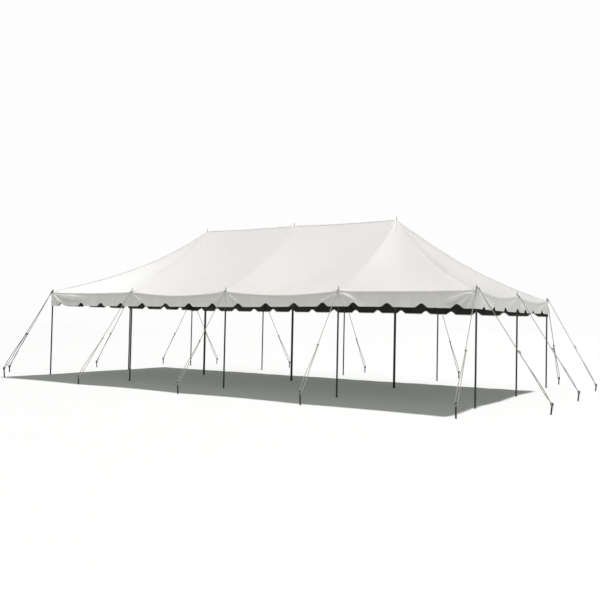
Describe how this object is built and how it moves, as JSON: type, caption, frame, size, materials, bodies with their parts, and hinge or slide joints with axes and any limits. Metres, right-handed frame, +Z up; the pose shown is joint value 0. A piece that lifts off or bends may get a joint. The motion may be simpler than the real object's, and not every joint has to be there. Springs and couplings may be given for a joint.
{
  "type": "pole tent",
  "caption": "White hip-roofed pole tent marquee with scalloped valance, centre and side poles, and guy ropes run out to steel stakes.",
  "frame": {"origin": "on the ground at the tent's middle, under the middle centre pole", "axes": "+X along the ridge to the right as seen from the front, +Y from the front to the back, +Z up"},
  "size_m": [15.1358, 9.7668, 4.35],
  "materials": {
    "roof_vinyl": "white vinyl-coated cloth, semi-gloss",
    "valance_vinyl": "white vinyl-coated cloth, semi-gloss",
    "painted_steel_pole": "dark grey-green, satin",
    "guy_rope": "white twisted rope",
    "stake_steel": "dark bare steel with light rust"
  },
  "bodies": {
    "root": {"roof_front": "roof_vinyl", "roof_back": "roof_vinyl", "roof_left_end": "roof_vinyl", "roof_right_end": "roof_vinyl", "valance_front": "valance_vinyl", "valance_back": "valance_vinyl", "valance_left_end": "valance_vinyl", "valance_right_end": "valance_vinyl", "centre_pole_1": "painted_steel_pole", "centre_pole_2": "painted_steel_pole", "centre_pole_3": "painted_steel_pole", "side_pole_front_1": "painted_steel_pole", "side_pole_front_2": "painted_steel_pole", "side_pole_front_3": "painted_steel_pole", "side_pole_front_4": "painted_steel_pole", "side_pole_front_5": "painted_steel_pole", "side_pole_back_1": "painted_steel_pole", "side_pole_back_2": "painted_steel_pole", "side_pole_back_3": "painted_steel_pole", "side_pole_back_4": "painted_steel_pole", "side_pole_back_5": "painted_steel_pole", "side_pole_left": "painted_steel_pole", "side_pole_right": "painted_steel_pole", "guy_rope_front_1": "guy_rope", "guy_rope_front_2": "guy_rope", "guy_rope_front_3": "guy_rope", "guy_rope_front_4": "guy_rope", "guy_rope_front_5": "guy_rope", "guy_rope_back_1": "guy_rope", "guy_rope_back_2": "guy_rope", "guy_rope_back_3": "guy_rope", "guy_rope_back_4": "guy_rope", "guy_rope_back_5": "guy_rope", "guy_rope_left_1": "guy_rope", "guy_rope_left_2": "guy_rope", "guy_rope_left_3": "guy_rope", "guy_rope_right_1": "guy_rope", "guy_rope_right_2": "guy_rope", "guy_rope_right_3": "guy_rope", "stake_front_1": "stake_steel", "stake_front_2": "stake_steel", "stake_front_3": "stake_steel", "stake_front_4": "stake_steel", "stake_front_5": "stake_steel", "stake_back_1": "stake_steel", "stake_back_2": "stake_steel", "stake_back_3": "stake_steel", "stake_back_4": "stake_steel", "stake_back_5": "stake_steel", "stake_left_1": "stake_steel", "stake_left_2": "stake_steel", "stake_left_3": "stake_steel", "stake_right_1": "stake_steel", "stake_right_2": "stake_steel", "stake_right_3": "stake_steel"}
  },
  "joints": []
}
